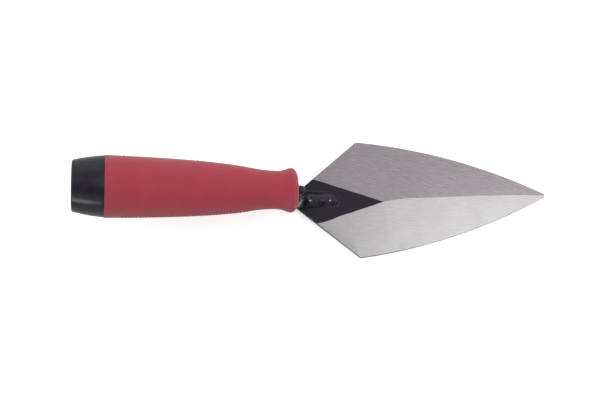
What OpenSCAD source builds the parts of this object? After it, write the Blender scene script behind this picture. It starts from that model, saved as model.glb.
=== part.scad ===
// Brick trowel: a steel blade of pointing-trowel pattern with a low forged shank, and a soft red
// grip moulded on a hollow plastic core that a nut holds on the tang, under a black butt cap.
//
// The origin is on the blade's underside, straight below the shank's post. +X runs to the blade's
// tip, +Z is up, and the underside of the blade lies on z = 0. All sizes are in millimetres.

/* [Blade] */
// Length from the heel corner to the tip
blade_l = 152; // [126:1:183]
// Width across the shoulders
blade_w = 70.5; // [60:0.5:84]
// How far the shoulders sit ahead of the heel corner
shoulder_x = 41.8; // [34:0.2:48]
// How far each leading edge bows out from a straight line
edge_bow = 5.5; // [3:0.1:8]
// Radius that rounds the heel, the shoulders and the tip
corner_r = 1; // [0.5:0.1:1.5]
// Thickness of the unground steel at the heel
blade_t = 3; // [2.6:0.1:3.4]
// Thickness left at the tip by grinding the two facets
tip_t = 1.6; // [1.2:0.1:1.8]
// Length of the unground chevron, from the heel corner to its point
chevron_l = 56.6; // [50:0.2:62]
// How far the chevron's point was ground off the centre line
chevron_off = -2; // [-3:0.1:3]
// Angle of the chevron's left edge from the centre line
chevron_left = 19.4; // [17:0.1:22]
// Angle of the chevron's right edge from the centre line
chevron_right = 17; // [15:0.1:22]

/* [Shank] */
// How far the shank's post stands ahead of the heel corner
post_setback = 8; // [7:0.1:10]
// Post thickness along the blade
post_t = 5.2; // [4.4:0.1:5.6]
// Diameter of the neck and the tang
tang_d = 7.2; // [6.4:0.1:8.7]
// Height of the neck's centre line above the blade's underside, over the post
neck_h = 23.8; // [19.8:0.1:28.6]
// Angle at which the handle rises towards the butt
handle_rise = 9; // [6:0.5:12]
// Reach of the wedge foot ahead of the origin
foot_l = 22; // [18:0.2:26]
// Height of the foot's crest over the blade's underside, at the post
foot_h = 9.4; // [7:0.1:11]
// Width of the foot where it meets the blade, at the post
foot_w = 11; // [9:0.2:13]
// Width of the foot's crest at the post
crest_w = 4.2; // [3.6:0.1:6]
// Height of the foot's blunt nose over the blade
nose_h = 0.4; // [0.2:0.1:1]
// Leg of the weld bead round the foot
bead_leg = 0.9; // [0.5:0.1:1.2]

/* [Grip] */
// Length of the red grip along the handle
grip_l = 111.3; // [92:0.5:134]
// Radius of the grip at the butt end
grip_r = 17.84; // [14.8:0.1:21]
// Radius of the grip at its neck, behind the flare
grip_neck_r = 11.09; // [10.6:0.05:12.5]
// Radius of the flare at the front
flare_r = 12.88; // [12.5:0.05:15]
// Thickness of the soft layer
grip_t = 2.8; // [2.2:0.1:3.2]

/* [Butt] */
// Length of the black cap that shows behind the grip
cap_l = 18.2; // [15:0.2:22]
// How much the cap's radius shrinks from the seam to its end
cap_taper = 2.7; // [2:0.1:4]
// How far the grip stands proud of the cap at the seam
seam_step = 0.3; // [0.1:0.05:0.5]
// Diameter of the thread at the tang's end
thread_d = 6; // [5:0.5:6.5]
// Size of the nut across its flats
nut_af = 10; // [9:0.5:11]
// Thickness of the nut
nut_t = 5; // [4:0.5:6]
// Diameter of the washer under the nut
washer_d = 16; // [14:0.5:18]

/* [Hidden] */

heel_x = -post_setback;
tip_x = heel_x + blade_l;
half_w = blade_w / 2;
shoulder = [heel_x + shoulder_x, half_w];

// The leading edges meet in a sharp point just past the tip, which is rounded back to blade_l.
nominal_chord = norm([blade_l - shoulder_x, half_w]);
point_angle = atan2(half_w, blade_l - shoulder_x) + 2 * atan(2 * edge_bow / nominal_chord);
point_x = tip_x + corner_r * (1 / sin(point_angle) - 1);

// Leading edge: one arc over the straight line from the shoulder to the point.
edge_run = point_x - shoulder[0];
edge_chord = norm([edge_run, half_w]);
edge_r = edge_chord * edge_chord / (8 * edge_bow) + edge_bow / 2;
edge_mid = [(shoulder[0] + point_x) / 2, half_w / 2];
edge_out = [half_w, edge_run] / edge_chord;
edge_centre = edge_mid - (edge_r - edge_bow) * edge_out;

// Each ground facet is a plane that falls away from one edge of the chevron. The left one falls to
// tip_t at the tip, and the right one falls so that both meet in a crease that ends at the tip.
chevron_tip = [heel_x + chevron_l, chevron_off];
to_tip = [tip_x, 0] - chevron_tip;
left_out = [sin(chevron_left), cos(chevron_left)];
right_out = [sin(chevron_right), -cos(chevron_right)];
left_fall = (blade_t - tip_t) / (to_tip * left_out);
right_fall = (blade_t - tip_t) / (to_tip * right_out);
grinder = 400;

// Shank: the post is a flattened bar whose front stays half a tang ahead of the origin.
tang_r = tang_d / 2;
neck_r = tang_r + 0.15;
post_x = tang_r - post_t / 2 + 0.2;
elbow_r = post_t / 2;
mesh_fn = 32;

// Foot stations: place along the blade, base width, crest width, and height over the blade. The
// foot starts just behind the post, is widest at its front, and tapers to a blunt nose.
foot_back = post_x - post_t / 2 - 0.3;
foot_rise = foot_h - blade_t;
slab_t = 0.1;
bead_bite = 0.4;
foot_stations = [
    [foot_back, foot_w - 2.2, crest_w, foot_rise],
    [post_x + elbow_r, foot_w, crest_w, foot_rise],
    [foot_l - 5, foot_w - 2.5, crest_w - 1.9, foot_rise - 4.4],
    [foot_l - slab_t, foot_w - 3.5, crest_w - 2.7, nose_h]
];

// Handle stations run along the handle's axis, from the grip's front face towards the butt.
handle_x = -0.9;
handle_z = neck_h - handle_x * tan(handle_rise);
flare_s = 5.1;
neck_s = 13.2;
face_r = 5.4;
collar_r = tang_r + 0.7;
cap_end_s = grip_l + cap_l;
cap_r = grip_r - seam_step;
cap_edge = 1.2;
cap_end_r = cap_r - cap_taper;
cap_wall = 3;

// Handle core: a nose boss on the tang, a shell under the grip, and ribs that carry the washer.
nose_s = 1.6;
nose_r = 8.2;
rib_count = 4;
rib_t = 2;
shell_t = 2.6;
tube_t = 2.2;
cavity_gap = 1.2;
washer_s = grip_l - 12;
washer_t = 1.6;
tang_end_s = washer_s + washer_t + nut_t + 2;
spigot_l = 8;
spigot_t = 2;
fit_gap = 0.1;
core_bore_r = tang_r + fit_gap / 2;
curve_n = 14;

// Point of a cubic curve through p[0] and p[3], pulled towards p[1] and p[2].
function cubic(p, t) =
    pow(1 - t, 3) * p[0] + 3 * pow(1 - t, 2) * t * p[1]
    + 3 * (1 - t) * t * t * p[2] + pow(t, 3) * p[3];
function curve(p, n) = [for (i = [0 : n]) cubic(p, i / n)];

// Grip outline as [radius, station]. Its front bulges into the flare, dips to the neck, and swells
// to the butt.
front_curve = [[face_r, 0], [flare_r - 2.2, 0.4], [flare_r, flare_s - 3], [flare_r, flare_s]];
dip_curve = [[flare_r, flare_s], [flare_r, flare_s + 2], [grip_neck_r, neck_s - 4.4],
             [grip_neck_r, neck_s]];
swell_curve = [[grip_neck_r, neck_s], [grip_neck_r, neck_s + 19.7],
               [grip_r - 1.9, neck_s + 10.4], [grip_r, grip_l]];

// Core outline: the grip's swell, less the soft layer, behind a straight nose.
core_start_s = neck_s + 12;
function under_grip(p) = [p[0] - grip_t, p[1]];
core_swell = [for (p = curve(swell_curve, curve_n)) if (p[1] > core_start_s) under_grip(p)];
core_end_r = core_swell[len(core_swell) - 1][0];
// The cavity starts where the shell first clears the tube, and the cap's spigot fits in its end.
tube_r = tang_r + tube_t;
core_hollow = [for (p = core_swell) if (p[0] - shell_t > tube_r + cavity_gap)
    [p[0] - shell_t, p[1]]];
cavity_start_s = core_hollow[0][1];
hollow_radii = [for (p = core_hollow) [p[1], p[0]]];
spigot_r = lookup(grip_l - spigot_l, hollow_radii) - fit_gap;
nose_outline = [[nose_r - 0.8, nose_s], [nose_r, nose_s + 0.8], [nose_r, core_start_s - 3]];

module on_handle() {
    translate([handle_x, 0, handle_z]) rotate([0, -90 + handle_rise, 0]) children();
}

module blade_outline() {
    offset(r = corner_r, $fn = 48) offset(delta = -corner_r)
    intersection() {
        translate(edge_centre) circle(r = edge_r, $fn = 360);
        translate([edge_centre[0], -edge_centre[1]]) circle(r = edge_r, $fn = 360);
        polygon([[heel_x, 0], [shoulder[0], half_w], [point_x, half_w],
                 [point_x, -half_w], [shoulder[0], -half_w]]);
    }
}

// Half space above the plane that leaves the chevron's edge and falls along the way out.
module ground_away(out, fall) {
    translate([chevron_tip[0], chevron_tip[1], blade_t])
    rotate([0, 0, atan2(out[1], out[0])]) rotate([0, atan(fall), 0])
    translate([0, -grinder / 2, 0]) cube([grinder, grinder, blade_t]);
}

module blade() {
    color([0.72, 0.71, 0.72]) difference() {
        linear_extrude(blade_t) blade_outline();
        ground_away(left_out, left_fall);
        ground_away(right_out, right_fall);
    }
}

// Flattened bar section with round sides, as wide as the tang.
module post_section() {
    hull() for (side = [-1, 1])
        translate([0, side * (tang_r - elbow_r)]) circle(r = elbow_r, $fn = mesh_fn);
}

// Slab of the foot at one station, with a trapezoid section.
module foot_slab(x, base, crest, height) {
    translate([x, 0, blade_t]) rotate([90, 0, 90]) linear_extrude(slab_t)
        polygon([[-base / 2, 0], [base / 2, 0], [crest / 2, height], [-crest / 2, height]]);
}

module foot() {
    hull() for (st = foot_stations) foot_slab(st[0], st[1], st[2], st[3]);
}

// Neck, elbow and post in one forged shape, whose neck ends level with the grip's front face.
module forging() {
    hull() {
        on_handle() translate([0, 0, -0.5]) cylinder(r = neck_r, h = 0.5, $fn = mesh_fn);
        for (side = [-1, 1])
            translate([post_x, side * (tang_r - elbow_r), neck_h + 0.5])
                sphere(r = elbow_r, $fn = mesh_fn);
        translate([post_x, 0, blade_t]) linear_extrude(slab_t) post_section();
    }
}

module shank() {
    color([0.16, 0.15, 0.17]) {
        on_handle() cylinder(r = thread_d / 2, h = tang_end_s, $fn = 48);
        on_handle() translate([0, 0, -0.3])
            cylinder(r = tang_r, h = washer_s - fit_gap + 0.3, $fn = 48);
        forging();
        foot();
    }
}

// Bead all round the foot: a low skirt one leg wider than the foot, cut back to the foot's faces.
module weld_bead() {
    last = len(foot_stations) - 1;
    color([0.2, 0.19, 0.21]) difference() {
        hull() for (i = [0 : last]) {
            st = foot_stations[i];
            ahead = i == 0 ? -bead_leg : i == last ? bead_leg : 0;
            foot_slab(st[0] + ahead, st[1] + 2 * bead_leg, crest_w, slab_t / 2);
            foot_slab(st[0], st[1] - bead_bite, crest_w, i == last ? nose_h : bead_leg);
        }
        foot();
    }
}

// Core: one turned profile for the nose boss, the shell and the tube round the tang, and ribs.
module handle_core() {
    color([0.24, 0.23, 0.25]) on_handle() {
        rotate_extrude($fn = 96) polygon(concat(
            [[core_bore_r, nose_s]], nose_outline, core_swell, [[core_end_r - shell_t, grip_l]],
            [for (i = [len(core_hollow) - 2 : -1 : 0]) core_hollow[i]],
            [[tube_r, cavity_start_s], [tube_r, washer_s], [core_bore_r, washer_s]]));
        for (i = [0 : rib_count - 1]) rotate([0, 0, 45 + i * 360 / rib_count]) rib();
    }
}

// One rib from the tube out to the shell. The washer bears on its end.
module rib() {
    rib_l = washer_s - cavity_start_s + 1;
    intersection() {
        translate([tang_r + tube_t / 2, -rib_t / 2, cavity_start_s - 1])
            cube([grip_r, rib_t, rib_l]);
        rotate_extrude($fn = 96) polygon(concat(
            [[0, cavity_start_s - 2], [core_hollow[0][0], cavity_start_s - 2]],
            [for (p = core_hollow) [p[0] + shell_t / 2, p[1]]], [[0, grip_l]]));
    }
}

module grip_sleeve() {
    color([0.62, 0.25, 0.29]) on_handle() difference() {
        rotate_extrude($fn = 128) polygon(concat(
            [[0, 0]], curve(front_curve, 8), curve(dip_curve, 8), curve(swell_curve, 20),
            [[0, grip_l]]));
        rotate_extrude($fn = 128) polygon(concat(
            [[0, nose_s]], nose_outline, core_swell, [[core_end_r, grip_l + 1], [0, grip_l + 1]]));
        translate([0, 0, -1]) cylinder(r = collar_r, h = nose_s + 2, $fn = 96);
    }
}

module tang_washer() {
    color([0.6, 0.6, 0.62]) on_handle() translate([0, 0, washer_s]) difference() {
        cylinder(d = washer_d, h = washer_t, $fn = 64);
        translate([0, 0, -1]) cylinder(d = thread_d + 0.4, h = washer_t + 2, $fn = 64);
    }
}

module tang_nut() {
    color([0.66, 0.64, 0.58]) on_handle() translate([0, 0, washer_s + washer_t]) difference() {
        cylinder(d = nut_af / cos(30), h = nut_t, $fn = 6);
        translate([0, 0, -1]) cylinder(d = thread_d, h = nut_t + 2, $fn = 64);
    }
}

// Cap outline: it tapers from the seam, a little faster towards the end.
function cap_radius(s) = cap_r + (cap_end_r - cap_r) * (0.42 * s + 0.58 * s * s);

module butt_cap() {
    side_l = cap_l - cap_edge;
    side = [for (i = [0 : curve_n]) [cap_radius(i / curve_n), grip_l + side_l * i / curve_n]];
    edge = [for (a = [15 : 15 : 90])
        [cap_end_r - cap_edge * (1 - cos(a)), grip_l + side_l + cap_edge * sin(a)]];
    color([0.15, 0.145, 0.155]) on_handle() difference() {
        union() {
            rotate_extrude($fn = 128) polygon(concat([[0, grip_l]], side, edge,
                                                     [[0, cap_end_s]]));
            translate([0, 0, grip_l - spigot_l])
                cylinder(r = spigot_r, h = spigot_l + 1, $fn = 96);
        }
        translate([0, 0, grip_l - spigot_l - 1])
            cylinder(r = spigot_r - spigot_t,
                     h = spigot_l + 1 + cap_l - cap_wall, $fn = 96);
    }
}

blade();
shank();
weld_bead();
handle_core();
grip_sleeve();
tang_washer();
tang_nut();
butt_cap();
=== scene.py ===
"""Looks of a brick trowel: a ground steel blade of pointing pattern, a forged and lacquered shank,
a soft red grip with a dotted underside, and a black butt cap. Lengths in the shape functions are
in millimetres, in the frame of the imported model, and put_mesh turns them into metres."""
import math

import bmesh
import bpy
import numpy as np
from mathutils import Matrix, Vector


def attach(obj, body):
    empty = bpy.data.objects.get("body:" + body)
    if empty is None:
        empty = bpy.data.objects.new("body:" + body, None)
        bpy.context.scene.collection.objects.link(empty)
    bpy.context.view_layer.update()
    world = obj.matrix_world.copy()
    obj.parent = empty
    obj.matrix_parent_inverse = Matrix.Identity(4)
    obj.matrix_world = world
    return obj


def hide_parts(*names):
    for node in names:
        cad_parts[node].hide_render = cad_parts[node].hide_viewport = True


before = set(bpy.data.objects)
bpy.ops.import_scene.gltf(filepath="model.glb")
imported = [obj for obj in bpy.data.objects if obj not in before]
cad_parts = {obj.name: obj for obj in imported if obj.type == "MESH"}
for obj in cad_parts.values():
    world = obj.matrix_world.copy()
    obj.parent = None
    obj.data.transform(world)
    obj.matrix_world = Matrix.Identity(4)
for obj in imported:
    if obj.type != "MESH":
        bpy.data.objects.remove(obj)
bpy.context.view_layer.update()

bl_info = {
    "name": "Brick trowel",
    "version": (1, 0, 0),
    "blender": (4, 5, 0),
    "location": "3D View > Sidebar > Trowel",
    "description": "Builds the blade, shank, weld bead, grip and butt cap of a brick trowel",
    "category": "Add Mesh",
}

MM = 0.001
WELD = 1e-6

# Blade, in millimetres: the outline, the thickness at the heel and at the tip, and the lacquered
# chevron, whose two edges make their own angles with the blade's axis.
HEEL_X = -8.0
SHOULDER = np.array([33.8, 35.25])
TIP_X = 144.0
# The +y shoulder stands a little back and out from the -y one, as hand grinding left it.
LEFT_SHIFT = np.array([-0.5, 0.4])
EDGE_BOW = 5.5
CORNER_R = 1.0
BLADE_T = 3.0
TIP_T = 1.6
CHEVRON_TIP = np.array([48.6, -2.0])
CHEVRON_LEFT = math.radians(19.4)
CHEVRON_RIGHT = math.radians(17.0)
FACET_CROWN = 0.0022
CREASE = np.array([[48.6, -2.0], [55.0, -0.95], [62.9, -0.12], [72.0, 0.0], [82.0, 0.1],
                   [100.6, 0.5], [124.6, 0.5], [144.0, 0.0]])

# Grid of the blade: points along the chevron's edge before and after the shoulder's foot, how far
# along that edge the foot is, and points across a facet, the chevron and the underside.
SHOULDER_STATIONS = 44
POINT_STATIONS = 30
SHOULDER_FOOT = 17.3
FACET_COLS, CHEVRON_COLS, UNDERSIDE_COLS = 30, 36, 16

# Patches of the blade, and how coarse the lines are on the -y facet against the +y one.
CHEVRON, LEFT_FACET, RIGHT_FACET, HEEL_RIM, EDGE_RIM, UNDERSIDE = range(6)
LINE_SLANTS = [0, -15, 6, 40, -15, 0]
FINE_LINES = 0.6

# Handle axis: it starts at the grip's front face and rises towards the butt. Stations are
# distances along it.
HANDLE_RISE = math.radians(9.0)
AXIS_START = np.array([-0.9, 0.0, 23.9425])
AXIS = np.array([-math.cos(HANDLE_RISE), 0.0, math.sin(HANDLE_RISE)])
AXIS_UP = np.array([math.sin(HANDLE_RISE), 0.0, math.cos(HANDLE_RISE)])
SIDE = np.array([0.0, 1.0, 0.0])
GRIP_END_S = 111.3
CAP_END_S = 129.5

# Grip and cap: radii of the flare, the dip and the butt end, the wall of the soft layer and of
# the core, and how much the front of the grip and the end of the cap slant.
FLARE_R, DIP_R, GRIP_END_R = 12.88, 11.09, 17.84
GRIP_WALL, CORE_WALL = 2.8, 2.6
CAP_SEAM_R, CAP_END_R, CAP_ROUND = 17.54, 14.84, 1.2
FRONT_SLANT = 0.11
END_SLANT = 0.022

# Dots under the grip: the stations where they start and end, how far they reach to either side
# of the underside's middle, and the sides of one dot.
DOT_STATIONS = (30.0, 102.0)
DOT_REACH = math.radians(104)
DOT_SIDES = 8

# Shank: the tang with its thread, the radius of the drawn-in neck, the flattened post, the height
# where its round top starts, and how far the +y side of the foot's crest reaches against the -y.
TANG_R = 3.6
TANG_START, THREAD_START, THREAD_END = 4.0, 99.3, 107.9
THREAD_R, THREAD_DEPTH = 3.0, 0.55
NECK_R = 2.9
POST_X = 0.9
POST_HALF_T = 2.9
POST_HALF_W = 3.3
ELBOW_Z = 19.4
CREST_LEFT = 0.8
# Foot: distance from the origin, width at the blade, width of the crest, height.
FOOT_STATIONS = np.array([[-1.7, 8.8, 4.2, 6.4], [3.8, 11.0, 4.2, 6.4], [17.0, 8.5, 2.3, 2.0],
                          [22.0, 7.3, 1.5, 0.2]])
# Painted highlights shown as bare metal: two glints on the crest, by their x, and the two ends of
# a highlight streak down the post.
PAINTED_GLINTS = (5.4, 17.0)
PAINTED_HIGHLIGHT_STREAK = np.array([[1.2, -3.4, 15.5], [-2.2, -3.7, 4.0]])

# Colour of the core, which the grip hides.
CORE_BLACK = (0.045, 0.043, 0.047)

# Soft boxes beside the handle and beside the blade: name, place in metres, power in watts. Both
# are squares with this side, in metres.
SOFT_BOXES = (("Soft box at the butt", (-0.9, 0.2, 1.0), 6.5),
              ("Soft box at the tip", (1.1, 0.1, 0.75), 6.8))
SOFT_BOX_SIDE = 1.2

# Floor: half its side and its height in metres, its glow, and its grey as the eye, a mirror and
# diffuse light meet it.
FLOOR_HALF, FLOOR_Z, FLOOR_GLOW = 12.0, -0.0002, 0.5
FLOOR_SEEN, FLOOR_MIRRORED, FLOOR_DIFFUSE = ((grey, grey, grey) for grey in (0.82, 0.6, 0.42))


# ---------------------------------------------------------------- shape functions

def put_mesh(name, points, faces, patch=None):
    """Makes an object from points in millimetres and a list of faces. Points closer than WELD
    become one, faces are turned to point outwards, and edges where the patch number changes are
    marked sharp."""
    mesh = bpy.data.meshes.new(name)
    mesh.from_pydata((np.asarray(points) * MM).tolist(), [], [list(map(int, f)) for f in faces])
    if patch is not None:
        layer = mesh.attributes.new("patch", "INT", "FACE")
        layer.data.foreach_set("value", np.asarray(patch, np.int32))
    bm = bmesh.new()
    bm.from_mesh(mesh)
    bmesh.ops.remove_doubles(bm, verts=bm.verts, dist=WELD)
    bmesh.ops.dissolve_degenerate(bm, edges=bm.edges, dist=WELD)
    stray = [e for e in bm.edges if not e.link_faces]
    bmesh.ops.delete(bm, geom=stray, context="EDGES")
    bmesh.ops.recalc_face_normals(bm, faces=bm.faces)
    bm.to_mesh(mesh)
    bm.free()
    mesh.polygons.foreach_set("use_smooth", np.ones(len(mesh.polygons), bool))
    if patch is not None:
        mark_patch_edges(mesh)
    mesh.update()
    return new_object(name, mesh)


def new_object(name, data):
    """An object in the scene for a mesh, a lamp or a camera."""
    obj = bpy.data.objects.new(name, data)
    bpy.context.scene.collection.objects.link(obj)
    return obj


def face_patches(mesh):
    """Patch number of each face."""
    patch = np.zeros(len(mesh.polygons), np.int32)
    mesh.attributes["patch"].data.foreach_get("value", patch)
    return patch


def corner_patches(mesh):
    """Patch number of the face that each face corner belongs to."""
    count = np.zeros(len(mesh.polygons), np.int32)
    mesh.polygons.foreach_get("loop_total", count)
    return np.repeat(face_patches(mesh), count)


def corner_numbers(mesh, key):
    """Number of each face corner's point or edge: key is vertex_index or edge_index."""
    number = np.zeros(len(mesh.loops), np.int32)
    mesh.loops.foreach_get(key, number)
    return number


def mark_patch_edges(mesh):
    """An edge is sharp where the lowest and the highest patch number of its faces differ."""
    edge, patch = corner_numbers(mesh, "edge_index"), corner_patches(mesh)
    low = np.full(len(mesh.edges), 10 ** 6)
    high = np.full(len(mesh.edges), -1)
    np.minimum.at(low, edge, patch)
    np.maximum.at(high, edge, patch)
    mesh.edges.foreach_set("use_edge_sharp", low != high)


def grid_faces(rows, cols, start=0, wrap_rows=False, wrap_cols=False):
    """Quads of a grid of points: point (i, j) is number start + i * cols + j."""
    i = np.arange(rows if wrap_rows else rows - 1)
    j = np.arange(cols if wrap_cols else cols - 1)
    i, j = np.meshgrid(i, j, indexing="ij")
    i1, j1 = (i + 1) % rows, (j + 1) % cols
    quads = np.stack([i * cols + j, i * cols + j1, i1 * cols + j1, i1 * cols + j], -1)
    return quads.reshape(-1, 4) + start


def join_grids(parts):
    """Stacks (points grid, patch number) into one list of points, faces and patches."""
    points, faces, patches, start = [], [], [], 0
    for grid, number in parts:
        rows, cols = grid.shape[:2]
        quads = grid_faces(rows, cols, start)
        points.append(grid.reshape(-1, 3))
        faces.append(quads)
        patches.append(np.full(len(quads), number))
        start += rows * cols
    return np.concatenate(points), np.concatenate(faces), np.concatenate(patches)


def arc(centre, radius, a0, a1, count):
    """Points of a circle from angle a0 to a1, in degrees."""
    a = np.radians(np.linspace(a0, a1, count))
    return np.stack([centre[0] + radius * np.cos(a), centre[1] + radius * np.sin(a)], -1)


def run_of(line):
    """Distance along a polyline at each of its points."""
    return np.concatenate([[0], np.cumsum(np.linalg.norm(np.diff(line, axis=0), axis=1))])


def at_runs(line, at):
    """Points of a polyline at the given distances along it."""
    run = run_of(line)
    return np.stack([np.interp(at, run, line[:, k]) for k in range(line.shape[1])], -1)


def along(line, count):
    """Points spread evenly by arc length along a polyline."""
    return at_runs(line, run_of(line)[-1] * np.linspace(0, 1, count))


def cubic(p0, p1, p2, p3, count):
    """Bezier cubic through p0 and p3, pulled towards p1 and p2."""
    t = np.linspace(0, 1, count)[:, None]
    p0, p1, p2, p3 = (np.array(p, float) for p in (p0, p1, p2, p3))
    return (1 - t) ** 3 * p0 + 3 * (1 - t) ** 2 * t * p1 + 3 * (1 - t) * t * t * p2 + t ** 3 * p3


def catmull(line, count):
    """Smooth curve through the points of a line: a cubic Hermite whose slopes are half the step
    between a point's neighbours, read at even shares of the whole."""
    line = np.asarray(line, float)
    padded = np.vstack([2 * line[0] - line[1], line, 2 * line[-1] - line[-2]])
    slope = (padded[2:] - padded[:-2]) / 2
    t = np.linspace(0, len(line) - 1, count)
    k = np.minimum(t.astype(int), len(line) - 2)
    u = (t - k)[:, None]
    h = [2 * u ** 3 - 3 * u ** 2 + 1, u ** 3 - 2 * u ** 2 + u, -2 * u ** 3 + 3 * u ** 2,
         u ** 3 - u ** 2]
    return h[0] * line[k] + h[1] * slope[k] + h[2] * line[k + 1] + h[3] * slope[k + 1]


def leading_edge():
    """Half outline of the blade on the +y side as three lines: the heel edge, the shoulder round
    and the leading edge with the tip round. The leading edge is an arc that bows out of its chord
    by EDGE_BOW, and every corner is a circle that touches both edges."""
    half_w, run = SHOULDER[1], TIP_X - SHOULDER[0]
    heel_angle = math.atan2(half_w, SHOULDER[0] - HEEL_X)
    point_angle = math.atan2(half_w, run) + 2 * math.atan(2 * EDGE_BOW / math.hypot(run, half_w))
    point_x = TIP_X + CORNER_R * (1 / math.sin(point_angle) - 1)
    run = point_x - SHOULDER[0]
    chord = math.hypot(run, half_w)
    radius = chord * chord / (8 * EDGE_BOW) + EDGE_BOW / 2
    middle = np.array([(SHOULDER[0] + point_x) / 2, half_w / 2])
    centre = middle - (radius - EDGE_BOW) * np.array([half_w, run]) / chord

    heel_c = np.array([HEEL_X + CORNER_R / math.sin(heel_angle), 0.0])
    turned = 90 + math.degrees(heel_angle)
    heel = arc(heel_c, CORNER_R, 180, turned, 8)
    line_dir = np.array([math.cos(heel_angle), math.sin(heel_angle)])
    # The shoulder circle's centre runs along the heel edge moved in by its radius, until it is
    # its radius inside the leading arc.
    offset = heel_c - centre
    b = offset @ line_dir
    c = offset @ offset - (radius - CORNER_R) ** 2
    shoulder_c = heel_c + line_dir * (-b + math.sqrt(b * b - c))
    towards = shoulder_c - centre
    edge_angle = math.degrees(math.atan2(towards[1], towards[0]))
    shoulder_round = arc(shoulder_c, CORNER_R, turned, edge_angle, 10)
    tip_c = np.array([centre[0] + math.sqrt((radius - CORNER_R) ** 2 - centre[1] ** 2), 0.0])
    tip_angle = math.degrees(math.atan2(-centre[1], tip_c[0] - centre[0]))
    lead = arc(centre, radius, edge_angle, tip_angle, 90)
    tip = arc(tip_c, CORNER_R, tip_angle, 0, 7)
    return heel, shoulder_round, np.vstack([lead, tip[1:]])


def facet_height(xy, side):
    """Height of the ground plane on one side: the heel's thickness less its fall times the
    distance out from the chevron's edge."""
    angle = CHEVRON_LEFT if side > 0 else CHEVRON_RIGHT
    out = np.array([math.sin(angle), side * math.cos(angle)])
    fall = (BLADE_T - TIP_T) / ((np.array([TIP_X, 0.0]) - CHEVRON_TIP) @ out)
    return BLADE_T - fall * np.maximum((xy - CHEVRON_TIP) @ out, 0.0)


def blade_lines(side):
    """Lines of one side of the blade: the heel edge up to the chevron's corner, then the outer
    line from there to the tip, and the inner line along the chevron's edge and the crease."""
    shift = LEFT_SHIFT / SHOULDER[1] * (side > 0)
    heel, shoulder, lead = (line + line[:, 1:] * shift for line in leading_edge())
    flip = np.array([1.0, side])
    angle = CHEVRON_LEFT if side > 0 else CHEVRON_RIGHT
    edge_dir = np.array([-math.cos(angle), side * math.sin(angle)])
    start, line = heel[-1] * flip, (shoulder[0] - heel[-1]) * flip
    # Where the chevron's edge crosses the heel edge.
    share = np.linalg.solve(np.array([line, -edge_dir]).T, CHEVRON_TIP - start)[0]
    corner = start + share * line
    heel_part = np.vstack([heel * flip, along(np.array([heel[-1] * flip, corner]), 24)[1:]])
    outer = np.vstack([along(np.array([corner, shoulder[0] * flip]), SHOULDER_STATIONS),
                       shoulder[1:] * flip, along(lead * flip, 130)[1:]])
    # Hand grinding: the chevron's edge bulges for a short way from the corner, and bows and waves
    # slightly along its whole length.
    edge = along(np.array([corner, CHEVRON_TIP]), 80)
    t = np.linspace(0, 1, 80)
    normal = np.array([-edge_dir[1], edge_dir[0]]) * side
    wave = -(0.7 if side > 0 else 1.5) * np.exp(-t * 5) * np.sin(np.pi * np.clip(t * 2.5, 0, 1))
    wave -= 0.22 * np.sin(np.pi * t)
    wave += 0.07 * np.sin(t * 23 + side) * np.sin(np.pi * t)
    edge = edge + wave[:, None] * normal
    crease = along(catmull(CREASE, 240), len(outer) - SHOULDER_STATIONS - POINT_STATIONS + 1)
    inner = np.vstack([chevron_stations(edge), crease[1:]])
    return heel_part, outer, inner


def chevron_stations(edge):
    """Points along a chevron edge: evenly up to the shoulder's foot, and evenly from there to
    the chevron's point."""
    end = run_of(edge)[-1]
    return at_runs(edge, np.concatenate([
        np.linspace(0, SHOULDER_FOOT, SHOULDER_STATIONS),
        np.linspace(SHOULDER_FOOT, end, POINT_STATIONS + 1)[1:]]))


def lift(xy, z):
    """Puts heights on a line of plane points."""
    return np.column_stack([xy, np.broadcast_to(z, len(xy))])


def ruled(a, b, count):
    """Grid of straight lines from each point of a to the matching point of b."""
    w = np.linspace(0, 1, count)[None, :, None]
    return a[:, None] * (1 - w) + b[:, None] * w


def blade_points(bevel):
    """Points, faces and patches of the blade. Each facet is ruled from the inner line to the
    rim, and the chevron and the underside are ruled from one side's rim to the other's."""
    parts, chevron, lows = [], [], []
    to_point = SHOULDER_STATIONS + POINT_STATIONS
    w = np.linspace(0, 1, FACET_COLS)[None, :]
    for side in (1, -1):
        heel_part, outer, inner = blade_lines(side)
        rim = np.vstack([lift(heel_part, BLADE_T), lift(outer, facet_height(outer, side))[1:]])
        pull, low = rim_inset(rim, bevel)
        count = len(heel_part)
        inner[0], inner[-1] = pull[count - 1, :2], pull[-1, :2]
        inner = lift(inner, 0.5 * (facet_height(inner, 1) + facet_height(inner, -1)))
        inner[0], inner[-1] = pull[count - 1], pull[-1]
        sheet = ruled(inner, pull[count - 1:], FACET_COLS)
        # A ground facet is crowned by a share of its width, as 4 w (1 - w) across it.
        width = np.linalg.norm(sheet[:, -1] - sheet[:, 0], axis=1)[:, None]
        sheet[:, :, 2] += FACET_CROWN * width * 4 * w * (1 - w)
        parts.append((sheet, LEFT_FACET if side > 0 else RIGHT_FACET))
        parts += rim_grids(pull, low, rim, count, bevel)
        chevron.append(np.vstack([pull[:count], inner[1:to_point]]))
        lows.append(low)
    parts.append((ruled(chevron[0], chevron[1], CHEVRON_COLS), CHEVRON))
    parts.append((ruled(lows[0], lows[1], UNDERSIDE_COLS), UNDERSIDE))
    return join_grids(parts)


def rim_inset(rim, bevel):
    """The rim line moved in by the bevel along the outline's inner normal, at the top and, with
    half the bevel, on the underside."""
    step = np.gradient(rim[:, :2], axis=0)
    step /= np.linalg.norm(step, axis=1)[:, None] + 1e-12
    side = 1 if rim[len(rim) // 2, 1] > 0 else -1
    inward = np.column_stack([step[:, 1], -step[:, 0]]) * side
    inward[0] = [1.0, 0.0]
    inward[-1] = [-1.0, 0.0]
    pull = rim.copy()
    pull[:, :2] += inward * bevel
    low = rim.copy()
    low[:, :2] += inward * bevel * 0.5
    low[:, 2] = 0.0
    return pull, low


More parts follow.
